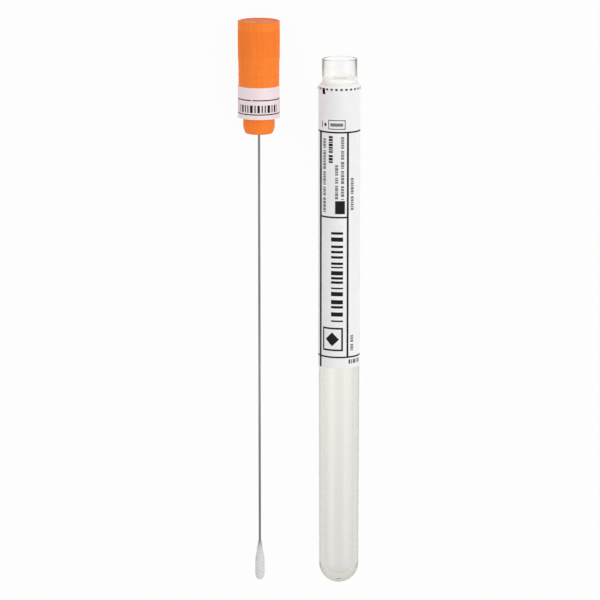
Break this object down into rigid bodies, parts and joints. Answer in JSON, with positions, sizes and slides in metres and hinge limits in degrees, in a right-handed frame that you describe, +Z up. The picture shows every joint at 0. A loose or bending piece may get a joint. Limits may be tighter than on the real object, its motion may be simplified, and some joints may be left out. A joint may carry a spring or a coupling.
{
  "type": "specimen swab tube",
  "caption": "Clear round-bottom tube with a wrapped paper label, lying beside the swab drawn out of it: orange stopper cap, wire stick and wound fibre tip.",
  "frame": {"origin": "on the surface the pair lies on, under the middle of the pair's bounding box", "axes": "+Y along both pieces' axes, towards the tube's mouth and the cap's top; +Z up; the swab lies on the -X side"},
  "size_m": [0.0342, 0.1606, 0.0119],
  "materials": {
    "clear_plastic": "clear moulded plastic with a faint warm green tint",
    "label_paper": "smooth white label paper",
    "orange_plastic": "satin moulded orange plastic",
    "band_paper": "smooth pale pink label paper",
    "wire": "drawn aluminium wire",
    "fibre": "wound white fibre"
  },
  "bodies": {
    "tube_body": {"tube": "clear_plastic", "tube_label": "label_paper"},
    "swab": {"cap": "orange_plastic", "seal_band": "band_paper", "wire_stick": "wire", "fibre_tip": "fibre"}
  },
  "joints": [
    {"name": "swab_draw", "type": "slide", "parent": "tube_body", "child": "swab", "axis": [0, 1, 0], "range_m": [0, 0.14]}
  ]
}
